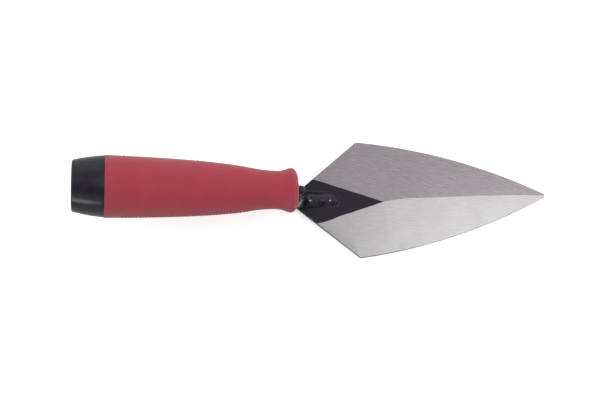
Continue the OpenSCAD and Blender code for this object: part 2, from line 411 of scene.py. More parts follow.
def rim_grids(pull, low, top, count, bevel):
    """Rim of one side as rows from the top bevel down to the underside: a quarter round, the
    wall, and a small lower bevel."""
    rows = []
    for a in np.radians([0, 22, 45, 68, 90]):
        row = pull + (top - pull) * math.sin(a)
        row[:, 2] = pull[:, 2] - bevel * (1 - math.cos(a))
        rows.append(row)
    for share in (0.3, 0.65):
        row = top.copy()
        row[:, 2] = (top[:, 2] - bevel) * (1 - share)
        rows.append(row)
    row = top.copy()
    row[:, 2] = bevel * 0.5
    rows.append(row)
    rows.append(low)
    grid = np.stack(rows, 1)
    return [(grid[:count], HEEL_RIM), (grid[count - 1:], EDGE_RIM)]


def around(a):
    """Direction out from the handle's axis at angle a: cos a * up + sin a * side."""
    return np.cos(a)[..., None] * AXIS_UP + np.sin(a)[..., None] * SIDE


def revolve(profile, count, lean):
    """Closed surface of revolution about the handle's axis. The profile's points are (radius,
    station), and the point at angle a is axis point + radius * (direction at a). A lean moves a
    point along the axis by lean * cos a, towards the butt on top."""
    a = np.linspace(0, 2 * np.pi, count, endpoint=False)
    s = profile[:, 1:2] + lean[:, None] * np.cos(a)
    points = AXIS_START + s[..., None] * AXIS + profile[:, :1, None] * around(a)
    return points.reshape(-1, 3), grid_faces(len(profile), count, wrap_rows=True, wrap_cols=True)


def round_corner(before, corner, after, radius):
    """Rounds one corner of a profile with a quadratic curve of five points that starts and ends
    radius away."""
    before, corner, after = (np.array(p, float) for p in (before, corner, after))
    a = corner + (before - corner) / np.linalg.norm(before - corner) * radius
    b = corner + (after - corner) / np.linalg.norm(after - corner) * radius
    t = np.linspace(0, 1, 5)[:, None]
    return (1 - t) ** 2 * a + 2 * (1 - t) * t * corner + t * t * b


def grip_outline():
    """Outer line of the grip as (radius, station): the front face, the flare, the dip to the
    neck and the long swell to the butt end."""
    front = cubic((5.4, 0.5), (9.6, 0.75), (FLARE_R, 2.2), (FLARE_R, 5.1), 26)
    dip = cubic((FLARE_R, 5.1), (FLARE_R, 7.1), (DIP_R, 8.8), (DIP_R, 13.2), 18)
    swell = cubic((DIP_R, 13.2), (DIP_R, 32.9), (15.94, 23.6), (GRIP_END_R, GRIP_END_S), 90)
    return np.vstack([front, dip[1:], swell[1:]])


def grip_profile():
    """Closed line of the sleeve: the outer line, the rounded butt end, the inner wall on the
    core, and the hole for the tang."""
    outer = grip_outline()
    inner = outer[outer[:, 1] > 25.2][::-1] - [GRIP_WALL, 0]
    end = round_corner(outer[-2], (GRIP_END_R, GRIP_END_S), (15.1, GRIP_END_S), 0.35)
    nose = [[8.2, 22.2], [8.2, 2.4], [7.4, 1.6], [4.3, 1.6]]
    hole = round_corner((4.3, 1.6), (4.3, 0.5), (5.4, 0.5), 0.4)
    wall_end = [[GRIP_END_R - GRIP_WALL, GRIP_END_S]]
    return np.vstack([outer[1:-1], end, wall_end, inner[1:], nose, hole])


def front_lean(profile):
    """How far the sleeve's front slants: more at a larger radius, and none behind the flare."""
    return FRONT_SLANT * profile[:, 0] * np.clip(1 - profile[:, 1] / 10, 0, 1) ** 2


def grip_radius(s):
    """Radius of the grip's outer line at stations s."""
    outer = grip_outline()
    order = np.argsort(outer[:, 1], kind="stable")
    return np.interp(s, outer[order, 1], outer[order, 0])


def cap_profile():
    """Closed line of the butt cap: a side that tapers faster towards the end, a rounded edge, a
    faintly dished end with a gate dimple, and the hollow spigot inside the grip."""
    u = np.linspace(0, 1, 40)
    side_l = CAP_END_S - GRIP_END_S - CAP_ROUND
    taper = (CAP_SEAM_R - CAP_END_R) * (0.42 * u + 0.58 * u * u)
    side = np.column_stack([CAP_SEAM_R - taper, GRIP_END_S + side_l * u])
    a = np.radians(np.linspace(0, 90, 10))[1:]
    edge = np.column_stack([CAP_END_R - CAP_ROUND * (1 - np.cos(a)),
                            GRIP_END_S + side_l + CAP_ROUND * np.sin(a)])
    r = np.array([12.6, 11.6, 11.2, 10.8, 9.6, 6.0, 1.9, 1.6, 1.3, 0.6, 0.0])
    dip = np.array([0, 0, -0.08, -0.3, -0.36, -0.4, -0.4, -0.46, -0.7, -0.8, -0.8])
    end = np.column_stack([r, CAP_END_S + dip])
    play = 0.1
    spigot = float(grip_radius(GRIP_END_S - 8)) - GRIP_WALL - CORE_WALL - play
    seam = round_corner((16.4, GRIP_END_S), (CAP_SEAM_R, GRIP_END_S), side[1], 0.25)
    inside = [[0, 126.5], [spigot - 2, 126.5], [spigot - 2, 103.3], [spigot - 0.4, 103.3],
              [spigot, 103.7], [spigot, GRIP_END_S]]
    return np.vstack([seam, side[1:], edge, end, inside])


def end_lean(profile):
    """How far the cap's end slants, growing with the radius and from the seam to the end."""
    share = np.clip((profile[:, 1] - GRIP_END_S) / (CAP_END_S - GRIP_END_S), 0, 1)
    return END_SLANT * profile[:, 0] * share


def smooth_min(a, b, k):
    """Least of two distances with a fillet of about radius k where they meet."""
    h = np.clip(0.5 + 0.5 * (b - a) / k, 0, 1)
    return b * (1 - h) + a * h - k * h * (1 - h)


def smooth_max(a, b, k):
    """Greatest of two distances with an edge rounded by about k."""
    return -smooth_min(-a, -b, k)


def neck_distance(x, y, z):
    """Distance to the round neck on the handle's axis, which is drawn in a little before it
    ends in the elbow."""
    rel = np.stack([x, y, z], -1) - AXIS_START
    s = np.clip(rel @ AXIS, -1.0, 8.0)
    share = np.clip((s - 0.2) / 2.0, 0, 1)
    radius = NECK_R + (TANG_R - NECK_R) * share * share * (3 - 2 * share)
    return np.linalg.norm(rel - s[..., None] * AXIS, axis=-1) - radius


def post_distance(x, y, z):
    """Distance to the flattened post: a bar with round sides whose top is the elbow's round.
    Towards the blade it swells, so that it flows into the foot."""
    swell = 1.15 * np.exp(-np.maximum(z - BLADE_T, 0) / 2.6)
    dx = x - (POST_X - 0.7 * swell)
    dy = np.maximum(np.abs(y) - (POST_HALF_W - POST_HALF_T), 0)
    dz = np.maximum(z - ELBOW_Z, 0)
    return np.sqrt(dx * dx + dy * dy + dz * dz) - POST_HALF_T - swell


def foot_distance(x, y, z):
    """Distance to the wedge foot: a bar of trapezoid section whose widths and height follow the
    foot's stations, with its edges rounded."""
    st = FOOT_STATIONS
    base, crest, high = (np.interp(x, st[:, 0], st[:, k]) for k in (1, 2, 3))
    up = z - BLADE_T
    share = np.clip(up / np.maximum(high, 0.2), -0.2, 1.2)
    crest = np.where(y > 0, crest * CREST_LEFT, crest)
    half = base / 2 - (base - crest) / 2 * share
    lean = np.cos(np.arctan2((base - crest) / 2, high))
    sides = (np.abs(y) - half) * np.maximum(lean, 0.45)
    top = (up - high) * 0.95
    body = smooth_max(sides, top, np.where(y > 0, 1.1, 0.25))
    ends = smooth_max(st[0, 0] - 0.35 - x, x - st[-1, 0] + 0.1, 0.3)
    return smooth_max(body, ends, 1.0)


def forging_distance(x, y, z):
    """Distance to the whole forging: neck, post and foot run together with forged fillets, and
    cut level on the blade."""
    d = smooth_min(neck_distance(x, y, z), post_distance(x, y, z), 2.2)
    d = smooth_min(d, foot_distance(x, y, z), 1.8)
    hammered = 0.035 * np.sin(x * 1.1 + 0.7 * z) * np.sin(y * 1.3 + 0.5 * z)
    return np.maximum(d + hammered, BLADE_T - z)


def surface_net(field, low, high, step):
    """Closed surface where a field is zero: one point in each grid cell that the surface
    crosses, moved onto it along the field's slope, and one quad across each grid line whose
    ends lie on opposite sides."""
    low = np.array(low, float)
    count = np.ceil((np.array(high) - low) / step).astype(int) + 1
    lines = [low[k] + step * np.arange(count[k]) for k in range(3)]
    value = field(*np.meshgrid(*lines, indexing="ij"))
    inside = value < 0
    corners_in = np.zeros(count - 1, np.int8)
    for i, j, k in np.ndindex(2, 2, 2):
        corners_in += inside[i:count[0] - 1 + i, j:count[1] - 1 + j, k:count[2] - 1 + k]
    mixed = (corners_in > 0) & (corners_in < 8)
    number = np.full(count - 1, -1)
    number[mixed] = np.arange(mixed.sum())
    points = low + step * (np.argwhere(mixed) + 0.5)
    h = step * 0.05
    for _ in range(6):
        x, y, z = points.T
        f = field(x, y, z)
        slope = np.stack([field(x + h, y, z) - f, field(x, y + h, z) - f,
                          field(x, y, z + h) - f], -1) / h
        move = f[:, None] * slope / np.maximum((slope ** 2).sum(1), 0.2)[:, None]
        points = points - np.clip(move, -step / 2, step / 2)
    faces = []
    for axis in range(3):
        b, c = [k for k in range(3) if k != axis]
        cell = np.argwhere(np.diff(inside, axis=axis))
        cell = cell[(cell[:, b] > 0) & (cell[:, c] > 0)
                    & (cell[:, b] < count[b] - 1) & (cell[:, c] < count[c] - 1)]
        corner = []
        for db, dc in ((0, 0), (1, 0), (1, 1), (0, 1)):
            at = cell.copy()
            at[:, b] -= db
            at[:, c] -= dc
            corner.append(number[tuple(at.T)])
        faces.append(np.stack(corner, -1))
    faces = np.concatenate(faces)
    return points, faces[(faces >= 0).all(1)]


def tang_points():
    """Tang inside the handle: a rod along the axis, then a thread cut by a ridge that climbs one
    pitch of a millimetre each turn, closed at both ends."""
    rod = np.linspace(TANG_START, THREAD_START - 0.3, 60)
    thread = np.linspace(THREAD_START, THREAD_END - 0.5, 110)
    s = np.concatenate([[TANG_START], rod, thread, [THREAD_END, THREAD_END]])
    a = np.linspace(0, 2 * np.pi, 48, endpoint=False)
    ridge = np.abs((s[:, None] + a / (2 * np.pi)) % 1.0 * 2 - 1)
    fade = np.clip((s - THREAD_START) / 0.6, 0, 1)[:, None]
    r = np.where(s[:, None] < THREAD_START, TANG_R - 0.05,
                 THREAD_R - THREAD_DEPTH * ridge * fade)
    r[0], r[-2], r[-1] = 0.0, THREAD_R - 0.8, 0.0
    points = (AXIS_START + s[:, None] * AXIS)[:, None] + r[..., None] * around(a)
    return points.reshape(-1, 3), grid_faces(len(s), len(a), wrap_cols=True)


def foot_outline(count):
    """Closed line round the foot's base, with its corners rounded, spread by arc length."""
    st = FOOT_STATIONS
    right = np.column_stack([st[:, 0], -st[:, 1] / 2])
    left = np.column_stack([st[::-1, 0], st[::-1, 1] / 2])
    line = np.vstack([right, left, right[:1]])
    fine = along(line, 720)[:-1]
    # Rounds the corners: the mean of each point's neighbours within about a millimetre.
    span = 10
    near = np.stack([np.roll(fine, k, axis=0) for k in range(-span, span + 1)])
    return along(np.vstack([near.mean(0), near.mean(0)[:1]]), count + 1)[:-1]


def bead_points(leg):
    """Weld bead: a bulged fillet carried round the foot's base. Its leg swells and shrinks as a
    sum of three sines along the run, and it stands on the blade."""
    count = 260
    line = foot_outline(count)
    step = np.roll(line, -1, axis=0) - np.roll(line, 1, axis=0)
    step /= np.linalg.norm(step, axis=1)[:, None]
    out = np.column_stack([step[:, 1], -step[:, 0]])
    t = np.linspace(0, 2 * np.pi, count, endpoint=False)
    size = leg * (1 + 0.1 * np.sin(3 * t + 1) + 0.06 * np.sin(7 * t) + 0.05 * np.sin(62 * t))
    shape = np.array([[-1.1, 0.0], [0.0, 0.0], [0.55, 0.0], [1.0, 0.0], [0.93, 0.12],
                      [0.78, 0.3], [0.58, 0.5], [0.34, 0.7], [0.08, 0.9], [-0.2, 1.0],
                      [-0.6, 0.9], [-1.0, 0.5]])
    reach = size[:, None] * shape[None, :, 0]
    points = np.empty((count, len(shape), 3))
    points[..., :2] = line[:, None] + out[:, None] * reach[..., None]
    points[..., 2] = BLADE_T + size[:, None] * shape[None, :, 1] * 0.28
    return points.reshape(-1, 3), grid_faces(count, len(shape), wrap_rows=True, wrap_cols=True)


def dot_points(pitch, radius, height):
    """Dots on the grip's underside: on staggered rows along the handle, each a low dome of three
    rings whose height falls as 1 - (distance / radius) squared, sunk slightly in the grip."""
    rows = []
    for i, at in enumerate(np.arange(*DOT_STATIONS, pitch * 0.866)):
        r = float(grip_radius(at))
        number = int(2 * DOT_REACH * r / pitch)
        spread = (np.arange(number) - (number - 1) / 2 + 0.25 * (-1) ** i) * pitch / r
        rows.append(np.column_stack([np.full(number, at), math.pi + spread]))
    centre = np.vstack(rows)
    ring = np.array([0.0, 0.45, 0.8, 1.0, 1.12])
    rise = np.array([1.0, 0.86, 0.45, 0.05, -0.4])
    a = np.linspace(0, 2 * np.pi, DOT_SIDES, endpoint=False)
    ds = radius * ring[:, None] * np.cos(a)
    across = radius * ring[:, None] * np.sin(a)
    at_s = centre[:, 0, None, None] + ds
    r = grip_radius(at_s)
    angle = centre[:, 1, None, None] + across / r
    r = r + height * rise[None, :, None]
    points = AXIS_START + at_s[..., None] * AXIS + r[..., None] * around(angle)
    one = grid_faces(len(ring), len(a), wrap_cols=True)
    first = len(ring) * DOT_SIDES * np.arange(len(centre))
    faces = (one[None] + first[:, None, None]).reshape(-1, 4)
    base = np.arange(DOT_SIDES) + (len(ring) - 1) * DOT_SIDES + first[:, None]
    return points.reshape(-1, 3), list(faces) + list(base)


# ---------------------------------------------------------------- materials

def node_group(name, inputs, outputs):
    """A shader node group that takes a vector and numbers with their defaults, and puts out
    numbers."""
    group = bpy.data.node_groups.new(name, "ShaderNodeTree")
    group.interface.new_socket("Vector", in_out="INPUT", socket_type="NodeSocketVector")
    for label, default in inputs.items():
        socket = group.interface.new_socket(label, in_out="INPUT", socket_type="NodeSocketFloat")
        socket.default_value = default
    for label in outputs:
        group.interface.new_socket(label, in_out="OUTPUT", socket_type="NodeSocketFloat")
    return group, group.nodes.new("NodeGroupInput"), group.nodes.new("NodeGroupOutput")


def feed(tree, socket, value):
    """Gives a socket its value: a link if the value is a socket, and a constant otherwise."""
    if isinstance(value, bpy.types.NodeSocket):
        tree.links.new(value, socket)
    else:
        socket.default_value = value


def add(tree, kind, values=None, **settings):
    """A node with its settings, and with its sockets fed."""
    node = tree.nodes.new(kind)
    for key, value in settings.items():
        setattr(node, key, value)
    for key, value in (values or {}).items():
        feed(tree, node.inputs[key], value)
    return node


def maths(tree, operation, a, b, clamp=False):
    """Result of one Math node."""
    node = add(tree, "ShaderNodeMath", {0: a, 1: b}, operation=operation, use_clamp=clamp)
    return node.outputs[0]


def product(tree, first, *others):
    """All values multiplied."""
    for value in others:
        first = maths(tree, "MULTIPLY", first, value)
    return first


def total(tree, first, *others):
    """All values added."""
    for value in others:
        first = maths(tree, "ADD", first, value)
    return first


def mix(tree, share, a, b):
    """Colour between a and b."""
    a, b = (c if isinstance(c, bpy.types.NodeSocket) else (*c[:3], 1) for c in (a, b))
    node = add(tree, "ShaderNodeMix", {0: share, 6: a, 7: b}, data_type="RGBA")
    return node.outputs[2]


def ramp(tree, value, low, high, out_low=0.0, out_high=1.0):
    """Smooth step of a value from low..high to out_low..out_high."""
    node = add(tree, "ShaderNodeMapRange", {0: value, 1: low, 2: high, 3: out_low, 4: out_high},
               interpolation_type="SMOOTHSTEP")
    return node.outputs[0]


def noise(tree, vector, scale, detail, roughness):
    """Noise from nought to one, with scale features to the metre."""
    return add(tree, "ShaderNodeTexNoise", {"Vector": vector, "Scale": scale, "Detail": detail,
                                            "Roughness": roughness}).outputs[0]


def build_grain_group():
    """Fine grain: two sizes of noise on a vector given in metres, put out as a height and as a
    wide mottle."""
    group, gin, gout = node_group("Fine grain", {"Grain size": 0.0004, "Mottle size": 0.008},
                                  ("Height", "Mottle"))
    for size, out, roughness in (("Grain size", "Height", 0.6), ("Mottle size", "Mottle", 0.55)):
        scale = maths(group, "DIVIDE", 1.0, gin.outputs[size])
        value = noise(group, gin.outputs["Vector"], scale, 3.0, roughness)
        group.links.new(value, gout.inputs[out])
    return group


def build_wear_group():
    """Edge wear: a mask that is high where the worn attribute is high and a noise breaks it up."""
    group, gin, gout = node_group(
        "Edge wear", {"Edge": 0.0, "Break-up size": 0.002, "Amount": 0.5}, ("Mask",))
    scale = maths(group, "DIVIDE", 1.0, gin.outputs["Break-up size"])
    broken = noise(group, gin.outputs["Vector"], scale, 4.0, 0.65)
    edge = product(group, gin.outputs["Edge"], gin.outputs["Amount"])
    group.links.new(ramp(group, total(group, edge, broken), 0.86, 1.06), gout.inputs["Mask"])
    return group


def build_brush_group():
    """Brush lines: noise stretched along the first axis of the vector, in three widths, put out
    as a height and as light and dark streaks."""
    group, gin, gout = node_group("Brush lines", {"Line width": 0.0004}, ("Height", "Streaks"))
    scale = maths(group, "DIVIDE", 1.0, gin.outputs["Line width"])
    layers = []
    # Each layer: how much it is stretched, how fine it is, and its share of the streaks.
    for stretch, fineness, share in ((0.1, 1.0, 0.3), (0.09, 0.5, 0.6), (0.05, 0.09, 0.1)):
        place = add(group, "ShaderNodeMapping", {"Vector": gin.outputs["Vector"],
                                                 "Scale": (stretch, 1.0, 1.0)})
        layer = noise(group, place.outputs[0], product(group, scale, fineness), 2.0, 0.62)
        layers.append((layer, product(group, layer, share)))
    height = product(group, total(group, layers[0][0], layers[1][0]), 0.5)
    group.links.new(height, gout.inputs["Height"])
    group.links.new(total(group, *(part for _, part in layers)), gout.inputs["Streaks"])
    return group


def shared(name):
    """The shared node group of that name, built the first time that it is asked for."""
    builders = {"Fine grain": build_grain_group, "Edge wear": build_wear_group,
                "Brush lines": build_brush_group}
    return bpy.data.node_groups.get(name) or builders[name]()


def new_material(name, **constants):
    """A material with a Principled BSDF whose constant sockets are set."""
    mat = bpy.data.materials.new(name)
    mat.use_nodes = True
    tree = mat.node_tree
    shader = next(n for n in tree.nodes if n.type == "BSDF_PRINCIPLED")
    for key, value in constants.items():
        shader.inputs[key.replace("_", " ")].default_value = value
    return mat, tree, shader


def object_vector(tree):
    """The place on the piece, in metres."""
    return tree.nodes.new("ShaderNodeTexCoord").outputs["Object"]


def attribute(tree, name):
    """A value that the mesh carries at its points."""
    return add(tree, "ShaderNodeAttribute", attribute_name=name).outputs["Fac"]


def grain(tree, vector, size, mottle):
    """Fine grain's height and mottle, with their sizes in metres."""
    values = {"Vector": vector, "Grain size": size, "Mottle size": mottle}
    return add(tree, "ShaderNodeGroup", values, node_tree=shared("Fine grain")).outputs


def wear(tree, vector, size, amount):
    """Edge wear's mask where the mesh's edge attribute is high, broken up in spots of a size."""
    values = {"Vector": vector, "Edge": attribute(tree, "edge"), "Break-up size": size,
              "Amount": amount}
    return add(tree, "ShaderNodeGroup", values, node_tree=shared("Edge wear")).outputs[0]


def brush(tree, vector, width):
    """Brush lines' height and streaks, with lines of a width in metres."""
    values = {"Vector": vector, "Line width": width}
    return add(tree, "ShaderNodeGroup", values, node_tree=shared("Brush lines")).outputs


def wire(tree, shader, colour, roughness, height, depth):
    """Links a shader's colour and roughness, and its normal to a bump whose height of one is
    depth metres."""
    bump = add(tree, "ShaderNodeBump", {"Height": height, "Strength": 1.0, "Distance": depth})
    for key, value in (("Base Color", colour), ("Roughness", roughness),
                       ("Normal", bump.outputs[0])):
        tree.links.new(value, shader.inputs[key])


def scaled(colour, share):
    """A colour made darker or brighter."""
    return tuple(min(1.0, c * share) for c in colour[:3])


def steel_material(tint, width):
    """Ground steel: brush lines along the UV's first axis, streaks in colour and roughness, and a
    rim with painted shade where its edge attribute is high and a painted highlight where it is
    below nought. The coarse attribute says how strong the lines are, and it also puts a faint
    painted reflection tint on the +y facet."""
    mat, tree, shader = new_material("Ground steel", Metallic=1.0, Anisotropic=0.7,
                                     Anisotropic_Rotation=0.25)
    uv = add(tree, "ShaderNodeUVMap", uv_map="brush").outputs[0]
    height, streak = brush(tree, uv, width)
    _, mottle = grain(tree, object_vector(tree), 0.0006, 0.012)
    coarse = attribute(tree, "coarse")
    streak = total(tree, 0.5, product(tree, coarse, maths(tree, "SUBTRACT", streak, 0.5)))
    share = ramp(tree, streak, 0.3, 0.7)
    colour = mix(tree, share, scaled(tint, 0.84), scaled(tint, 1.07))
    # The facet with the coarse lines gets a faint painted reflection tint, with less green.
    painted_facet_tint = (tint[0], 0.2 * tint[1], tint[2])
    colour = mix(tree, ramp(tree, coarse, FINE_LINES, 1.0, 0.0, 0.055), colour, painted_facet_tint)
    cloud = ramp(tree, mottle, 0.35, 0.7)
    colour = mix(tree, product(tree, cloud, 0.12), colour, scaled(tint, 0.82))
    # Painted shade darkens the rim where the edge attribute is high, and a painted highlight
    # brightens it where the attribute is below nought.
    edge = attribute(tree, "edge")
    colour = mix(tree, maths(tree, "MULTIPLY", edge, 0.6, True), colour, scaled(tint, 0.4))
    colour = mix(tree, maths(tree, "MULTIPLY", edge, -1.0, True), colour, scaled(tint, 1.65))
    rough = total(tree, 0.19, product(tree, streak, 0.12), product(tree, cloud, 0.015))
    wire(tree, shader, colour, rough, product(tree, height, coarse), 0.000009)
    tangent = add(tree, "ShaderNodeTangent", direction_type="UV_MAP", uv_map="brush")
    tree.links.new(tangent.outputs[0], shader.inputs["Tangent"])
    return mat


def lacquer_material(name, black, metal, coat=0.0):
    """Black lacquer over forged or sheared steel: slight orange peel, dusty mottle, and bare metal
    where an edge is worn. On the shank the same bare metal also gives painted glints and a painted
    highlight streak."""
    mat, tree, shader = new_material(name, IOR=1.5, Coat_Weight=coat, Coat_Roughness=0.1)
    vec = object_vector(tree)
    fine, mottle = grain(tree, vec, 0.0007, 0.006)
    # On the shank this mask also carries the painted glints and the painted highlight streak.
    bare = wear(tree, vec, 0.0012, 0.34)
    dust = product(tree, ramp(tree, mottle, 0.42, 0.75), 0.5)
    colour = mix(tree, bare, mix(tree, dust, black, scaled(black, 1.8)), metal)
    tree.links.new(product(tree, bare, 0.8), shader.inputs["Metallic"])
    rough = total(tree, 0.17, product(tree, mottle, 0.14))
    wire(tree, shader, colour, rough, total(tree, fine, mottle), 0.00002)
    return mat


def rubber_material(name, red):
    """Soft matte rubber: a fine grain with darker pits, and a slight bloom in patches."""
    mat, tree, shader = new_material(name, IOR=1.45, Sheen_Weight=0.22, Sheen_Roughness=0.5)
    fine, mottle = grain(tree, object_vector(tree), 0.00035, 0.009)
    bloom = ramp(tree, mottle, 0.3, 0.75)
    pits = product(tree, ramp(tree, fine, 0.35, 0.75), 0.14)
    colour = mix(tree, pits, mix(tree, bloom, scaled(red, 0.94), scaled(red, 1.05)),
                 scaled(red, 0.72))
    rough = total(tree, 0.56, product(tree, mottle, 0.14))
    wire(tree, shader, colour, rough, fine, 0.00006)
    return mat


def plastic_material(name, black, gloss, spread):
    """Moulded black plastic: a faint flow mottle and rubbed edges. Its roughness goes from gloss
    to gloss + spread."""
    mat, tree, shader = new_material(name, IOR=1.42)
    vec = object_vector(tree)
    fine, mottle = grain(tree, vec, 0.0009, 0.005)
    rub = product(tree, wear(tree, vec, 0.0014, 0.4), 0.4)
    flow = ramp(tree, mottle, 0.35, 0.7)
    colour = mix(tree, rub, mix(tree, flow, scaled(black, 0.85), scaled(black, 1.25)),
                 scaled(black, 4.0))
    rough = total(tree, gloss, product(tree, mottle, spread))
    wire(tree, shader, colour, rough, total(tree, fine, product(tree, mottle, 2.0)), 0.00005)
    return mat


def zinc_material(name, tint):
    """Zinc plate: fine grain and a slight colour drift."""
    mat, tree, shader = new_material(name, Metallic=1.0)
    fine, mottle = grain(tree, object_vector(tree), 0.0003, 0.004)
    colour = mix(tree, mottle, scaled(tint, 0.85), (tint[0], tint[1] * 0.98, tint[2] * 0.9))
    rough = total(tree, 0.28, product(tree, fine, 0.2))
    wire(tree, shader, colour, rough, fine, 0.00002)
    return mat


# ---------------------------------------------------------------- stage

def make_floor():
    """A wide pale floor under the blade. It is brighter to the eye than the light it sends back,
    as a white sweep behind dimmed boards is."""
    size = FLOOR_HALF
    mesh = bpy.data.meshes.new("floor")
    mesh.from_pydata([(x, y, FLOOR_Z) for x, y in ((-size, -size), (size, -size), (size, size),
                                                   (-size, size))], [], [(0, 1, 2, 3)])
    mat, tree, shader = new_material("Pale floor", Roughness=0.9, Specular_IOR_Level=0.1)
    lit = add(tree, "ShaderNodeBsdfPrincipled", {"Roughness": 0.9, "Specular IOR Level": 0.1,
                                                 "Base Color": (*FLOOR_SEEN, 1),
                                                 "Emission Color": (1, 1, 1, 1),
                                                 "Emission Strength": FLOOR_GLOW})
    path = tree.nodes.new("ShaderNodeLightPath")
    shade = mix(tree, path.outputs["Is Glossy Ray"], FLOOR_DIFFUSE, FLOOR_MIRRORED)
    tree.links.new(shade, shader.inputs["Base Color"])
    both = add(tree, "ShaderNodeMixShader", {0: path.outputs["Is Camera Ray"],
                                             1: shader.outputs[0], 2: lit.outputs[0]})
    out = next(n for n in tree.nodes if n.type == "OUTPUT_MATERIAL")
    tree.links.new(both.outputs[0], out.inputs["Surface"])
    mesh.materials.append(mat)
    new_object("floor", mesh)


def make_light():
    """Soft light from all round, whose brightness follows its direction (x, y, z), and two soft
    boxes that light the shapes but aren't mirrored in the steel."""
    world = bpy.data.worlds.new("Studio")
    bpy.context.scene.world = world
    world.use_nodes = True
    tree = world.node_tree
    way = tree.nodes.new("ShaderNodeTexCoord").outputs["Generated"]
    x, y, z = add(tree, "ShaderNodeSeparateXYZ", {0: way}).outputs
    # A wide box overhead: it starts over the shank, fades out towards the tip, and ends soon on
    # the +y side.
    overhead = product(tree, ramp(tree, y, 0.15, 0.34, 1.55, 0.0), ramp(tree, y, -0.5, -0.25),
                       ramp(tree, x, 0.03, 0.14), ramp(tree, x, 0.12, 0.6, 1.0, 0.0))
    # Walls at both ends and on the +y side, and a dim sky over the rest.
    ends = total(tree, ramp(tree, x, 0.45, 0.8, 0.0, 0.7), ramp(tree, x, -0.8, -0.45, 0.8, 0.0))
    left = total(tree, ramp(tree, y, -0.35, 0.1, 0.12, 0.45), ramp(tree, y, 0.5, 0.8, 0.0, 0.4))
    # On the -y side, a bright low strip beside the handle and a dim band above it.
    strip = product(tree, ramp(tree, z, 0.02, 0.1), ramp(tree, z, 0.2, 0.3, 1.0, 0.0),
                    ramp(tree, y, -0.9, -0.6, 5.5, 0.0), ramp(tree, x, -0.25, -0.05, 1.0, 0.0))
    band = product(tree, ramp(tree, z, 0.25, 0.45), ramp(tree, z, 0.55, 0.72, 1.0, 0.0),
                   ramp(tree, y, -0.8, -0.5, 0.5, 0.0))
    back = next(n for n in tree.nodes if n.type == "BACKGROUND")
    tree.links.new(total(tree, overhead, left, ends, strip, band), back.inputs["Strength"])
    back.inputs["Color"].default_value = (1, 1, 1, 1)
    for name, place, energy in SOFT_BOXES:
        lamp = bpy.data.lights.new(name, "AREA")
        lamp.energy = energy
        lamp.size = SOFT_BOX_SIDE
        obj = new_object(name, lamp)
        obj.location = place
        obj.visible_glossy = False
        obj.rotation_euler = (-obj.location).to_track_quat("-Z", "Y").to_euler()


def make_camera():
    """Camera 74 degrees above the blade, 0.85 m from it, turned a little about its own axis."""
    elevation, roll, distance = math.radians(74.0), -0.02335, 0.85
    target = Vector((-0.000592, 0.00113, 0.0))
    right = Vector((1, 0, 0))
    back = Vector((0, -math.cos(elevation), math.sin(elevation)))
    up = back.cross(right)
    camera = bpy.data.cameras.new("Camera")
    camera.sensor_width = 36.0
    camera.lens = 86.19
    camera.clip_start, camera.clip_end = 0.01, 20.0
    obj = new_object("Camera", camera)
    turn = Matrix((right * math.cos(roll) + up * math.sin(roll),
                   up * math.cos(roll) - right * math.sin(roll), back)).transposed()
    obj.matrix_world = Matrix.Translation(target + back * distance) @ turn.to_4x4()
    bpy.context.scene.camera = obj
    bpy.context.scene.view_settings.view_transform = "Standard"


# ---------------------------------------------------------------- settings

class TrowelSizes(bpy.types.PropertyGroup):
    """Sizes of the finer shapes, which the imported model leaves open."""
    rim_bevel: bpy.props.FloatProperty(
        name="Rim bevel", description="Round on the blade's top edge", default=0.00025,
        min=0.0001, max=0.0008, subtype="DISTANCE", unit="LENGTH")
    bead_leg: bpy.props.FloatProperty(
        name="Weld leg", description="Leg of the weld bead round the foot", default=0.0006,
        min=0.0004, max=0.0009, subtype="DISTANCE", unit="LENGTH")
    dot_pitch: bpy.props.FloatProperty(
        name="Dot pitch", description="Spacing of the dots under the grip", default=0.0022,
        min=0.0015, max=0.004, subtype="DISTANCE", unit="LENGTH")
    dot_radius: bpy.props.FloatProperty(
        name="Dot radius", description="Radius of one dot under the grip", default=0.0006,
        min=0.0003, max=0.0012, subtype="DISTANCE", unit="LENGTH")
    dot_height: bpy.props.FloatProperty(
        name="Dot height", description="How far a dot stands out of the grip",
        default=0.00025, min=0.0001, max=0.0005, subtype="DISTANCE", unit="LENGTH")
    brush_width: bpy.props.FloatProperty(
        name="Brush line", description="Width of the ground lines on the steel",
        default=0.0003, min=0.0001, max=0.002, subtype="DISTANCE", unit="LENGTH")


class TrowelFinishes(bpy.types.PropertyGroup):
    """Colours of the finishes."""
    steel: bpy.props.FloatVectorProperty(
        name="Steel", description="Colour of the ground steel", size=3, min=0, max=1,
        subtype="COLOR", default=(0.585, 0.565, 0.578))
    lacquer: bpy.props.FloatVectorProperty(
        name="Lacquer", description="Colour of the lacquer on shank and heel", size=3, min=0,
        max=1, subtype="COLOR", default=(0.0058, 0.0036, 0.0092))
    grip: bpy.props.FloatVectorProperty(
        name="Grip", description="Colour of the soft grip", size=3, min=0, max=1,
        subtype="COLOR", default=(0.36, 0.031, 0.052))
    cap: bpy.props.FloatVectorProperty(
        name="Butt cap", description="Colour of the butt cap", size=3, min=0, max=1,
        subtype="COLOR", default=(0.0135, 0.0118, 0.0165))
    zinc: bpy.props.FloatVectorProperty(
        name="Zinc", description="Colour of the nut and washer", size=3, min=0, max=1,
        subtype="COLOR", default=(0.6, 0.6, 0.58))


def finish_piece(obj, materials, slot, *nodes):
    """Hands a piece over: it has its materials, rides on the one body and stands for CAD nodes,
    which it hides. The slot that it is given is not used."""
    for mat in materials:
        obj.data.materials.append(mat)
    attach(obj, "root")
    if nodes:
        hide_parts(*nodes)


def set_attribute(obj, name, values):
    """Puts one value at each of the mesh's points."""
    layer = obj.data.attributes.new(name, "FLOAT", "POINT")
    layer.data.foreach_set("value", np.asarray(values, np.float32))


